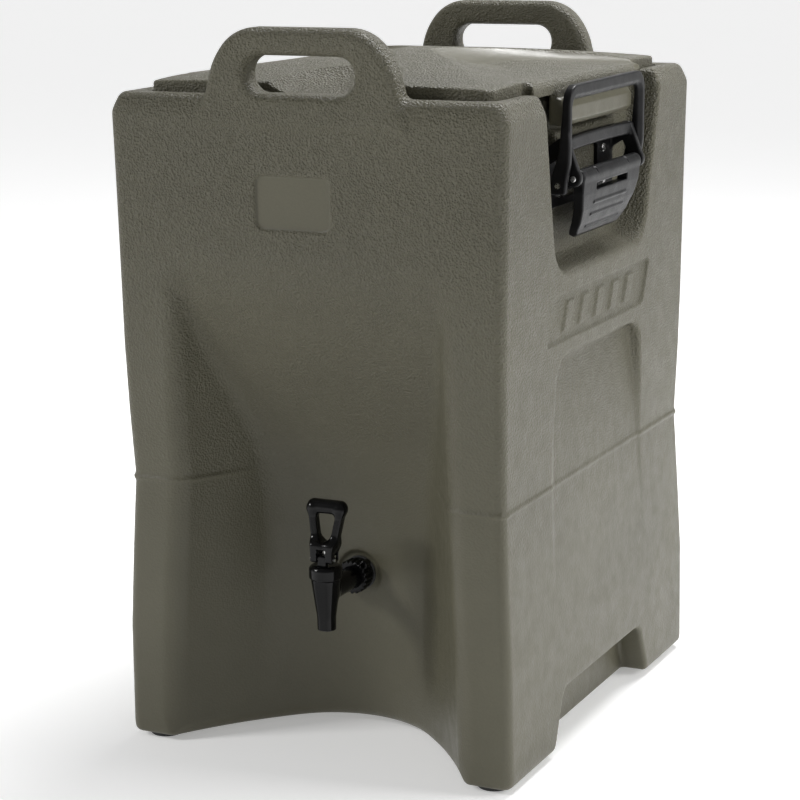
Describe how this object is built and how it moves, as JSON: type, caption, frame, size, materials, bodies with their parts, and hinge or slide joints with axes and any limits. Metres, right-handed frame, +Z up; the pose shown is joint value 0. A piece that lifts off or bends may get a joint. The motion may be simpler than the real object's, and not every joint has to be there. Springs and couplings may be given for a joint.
{
  "type": "insulated beverage server",
  "caption": "Foam-filled double-wall drinks carrier with a lift-off lid, over-centre side latches, carrying grips and a self-closing faucet in a front cup recess.",
  "frame": {"origin": "on the floor, under the middle of the carrier", "axes": "+Z up, +X to the right-hand side as seen from the faucet, -Y towards the faucet"},
  "size_m": [0.436, 0.514, 0.728],
  "materials": {
    "tub_plastic": "pebbled olive-grey rotomoulded polyethylene",
    "lid_plastic": "pebbled olive-grey rotomoulded polyethylene",
    "liner_plastic": "smooth polyethylene",
    "foam": "closed-cell foam",
    "latch_plastic": "black moulded nylon, fine texture",
    "faucet_plastic": "glossy black moulded plastic",
    "rubber": "matte",
    "seal_rubber": "soft silicone, satin",
    "steel": "stainless, turned"
  },
  "bodies": {
    "tub": {"faucet_body": "faucet_plastic", "faucet_bonnet": "faucet_plastic", "faucet_coupling_nut": "faucet_plastic", "faucet_handle_pin": "steel", "faucet_inner_washer": "seal_rubber", "faucet_lock_nut": "faucet_plastic", "faucet_outer_washer": "seal_rubber", "faucet_shank": "faucet_plastic", "foam_core": "foam", "foot_front_left": "rubber", "foot_front_right": "rubber", "foot_rear_left": "rubber", "foot_rear_right": "rubber", "foot_screws": "steel", "left_latch_bracket": "latch_plastic", "left_latch_hinge_pin": "steel", "left_latch_screws": "steel", "outer_shell": "tub_plastic", "right_latch_bracket": "latch_plastic", "right_latch_hinge_pin": "steel", "right_latch_screws": "steel", "tank_liner": "liner_plastic"},
    "lid": {"lid_foam": "foam", "lid_gasket": "seal_rubber", "lid_pan": "liner_plastic", "lid_shell": "lid_plastic"},
    "right_lever": {"right_latch_lever": "latch_plastic", "right_latch_bail_pins": "steel"},
    "left_lever": {"left_latch_lever": "latch_plastic", "left_latch_bail_pins": "steel"},
    "right_bail": {"right_latch_bail": "latch_plastic"},
    "left_bail": {"left_latch_bail": "latch_plastic"},
    "faucet_handle": {"faucet_handle": "faucet_plastic"},
    "faucet_stem": {"faucet_stem": "steel", "faucet_seat_cup": "seal_rubber", "faucet_spring": "steel"}
  },
  "joints": [
    {"name": "lid_lift", "type": "slide", "parent": "tub", "child": "lid", "axis": [0, 0, 1], "range_m": [0, 0.14]},
    {"name": "right_lever_swing", "type": "hinge", "parent": "tub", "child": "right_lever", "pos_m": [0.21, 0, 0.574], "axis": [0, -1, 0], "range_deg": [0, 165]},
    {"name": "right_bail_swing", "type": "hinge", "parent": "right_lever", "child": "right_bail", "pos_m": [0.1995, 0, 0.5685], "axis": [0, 1, 0], "range_deg": [0, 190]},
    {"name": "left_lever_swing", "type": "hinge", "parent": "tub", "child": "left_lever", "pos_m": [-0.21, 0, 0.574], "axis": [0, 1, 0], "range_deg": [0, 165]},
    {"name": "left_bail_swing", "type": "hinge", "parent": "left_lever", "child": "left_bail", "pos_m": [-0.1995, 0, 0.5685], "axis": [0, -1, 0], "range_deg": [0, 190]},
    {"name": "handle_tilt", "type": "hinge", "parent": "tub", "child": "faucet_handle", "pos_m": [0, -0.2235, 0.206], "axis": [1, 0, 0], "range_deg": [0, 34], "stiffness_Nm_per_rad": 0.12, "springref_deg": -20.05},
    {"name": "stem_lift", "type": "slide", "parent": "tub", "child": "faucet_stem", "axis": [0, 0, 1], "range_m": [0, 0.0033]}
  ],
  "couplings": [
    {"joint": "right_bail_swing", "follows": "right_lever_swing", "ratio": 1.15},
    {"joint": "left_bail_swing", "follows": "left_lever_swing", "ratio": 1.15},
    {"joint": "stem_lift", "follows": "handle_tilt", "m_per_rad": 0.0053}
  ]
}
